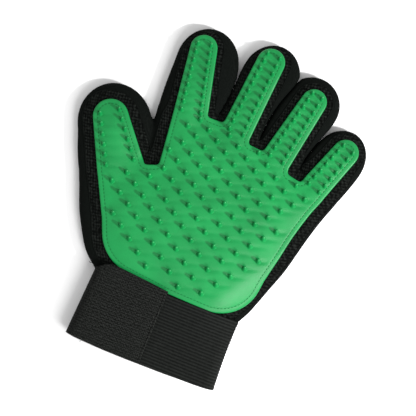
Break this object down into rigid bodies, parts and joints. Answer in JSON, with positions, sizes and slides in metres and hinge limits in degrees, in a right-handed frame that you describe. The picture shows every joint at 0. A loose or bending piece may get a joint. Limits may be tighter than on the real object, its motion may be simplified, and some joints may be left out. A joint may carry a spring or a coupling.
{
  "type": "grooming glove",
  "caption": "Pet grooming glove for the left hand: a fabric shell with a green rubber palm pad of soft nubs, an elastic wristband and a hook-and-loop closure tab.",
  "frame": {"origin": "middle of the overall box, on the surface that the back of the glove lies on", "axes": "+X across the hand towards the little finger, +Y towards the fingertips, +Z out of the palm"},
  "size_m": [0.2, 0.2425, 0.0225],
  "materials": {
    "rubber": "satin green moulded rubber",
    "spacer_mesh": "black knitted spacer mesh",
    "stretch_knit": "smooth black stretch knit",
    "elastic": "black ribbed woven elastic",
    "loop_pile": "black brushed loop pile",
    "hook_tape": "black nylon hook tape"
  },
  "bodies": {
    "hand": {"hand_back_panel": "spacer_mesh", "hand_palm_panel": "spacer_mesh", "palm_pad": "rubber", "thumb_side_gusset": "stretch_knit", "thumb_crotch_gusset": "stretch_knit", "little_side_gusset": "stretch_knit", "index_middle_web": "stretch_knit", "middle_ring_web": "stretch_knit", "ring_little_web": "stretch_knit", "wristband": "elastic", "loop_patch": "loop_pile"},
    "thumb": {"thumb_back_panel": "spacer_mesh", "thumb_palm_panel": "spacer_mesh", "thumb_gusset_left": "stretch_knit", "thumb_gusset_right": "stretch_knit", "thumb_pad": "rubber"},
    "index": {"index_back_panel": "spacer_mesh", "index_palm_panel": "spacer_mesh", "index_gusset_left": "stretch_knit", "index_gusset_right": "stretch_knit", "index_pad": "rubber"},
    "middle": {"middle_back_panel": "spacer_mesh", "middle_palm_panel": "spacer_mesh", "middle_gusset_left": "stretch_knit", "middle_gusset_right": "stretch_knit", "middle_pad": "rubber"},
    "ring": {"ring_back_panel": "spacer_mesh", "ring_palm_panel": "spacer_mesh", "ring_gusset_left": "stretch_knit", "ring_gusset_right": "stretch_knit", "ring_pad": "rubber"},
    "little": {"little_back_panel": "spacer_mesh", "little_palm_panel": "spacer_mesh", "little_gusset_left": "stretch_knit", "little_gusset_right": "stretch_knit", "little_pad": "rubber"},
    "strap": {"closure_tab": "loop_pile", "hook_patch": "hook_tape"}
  },
  "joints": [
    {"name": "thumb_knuckle", "type": "hinge", "parent": "hand", "child": "thumb", "pos_m": [-0.05894, 0.00165, 0.018], "axis": [0.8387, 0.5446, 0], "range_deg": [0, 60]},
    {"name": "index_knuckle", "type": "hinge", "parent": "hand", "child": "index", "pos_m": [-0.02634, 0.05395, 0.018], "axis": [0.9833, 0.1822, 0], "range_deg": [0, 75]},
    {"name": "middle_knuckle", "type": "hinge", "parent": "hand", "child": "middle", "pos_m": [0.00826, 0.05285, 0.018], "axis": [0.9968, -0.0802, 0], "range_deg": [0, 75]},
    {"name": "ring_knuckle", "type": "hinge", "parent": "hand", "child": "ring", "pos_m": [0.04136, 0.04495, 0.018], "axis": [0.9833, -0.1822, 0], "range_deg": [0, 75]},
    {"name": "little_knuckle", "type": "hinge", "parent": "hand", "child": "little", "pos_m": [0.07346, 0.03615, 0.018], "axis": [0.9426, -0.3338, 0], "range_deg": [0, 75]},
    {"name": "tab_peel", "type": "hinge", "parent": "hand", "child": "strap", "pos_m": [-0.05024, -0.09625, 0.0183], "axis": [0, -1, 0], "range_deg": [0, 160]}
  ]
}
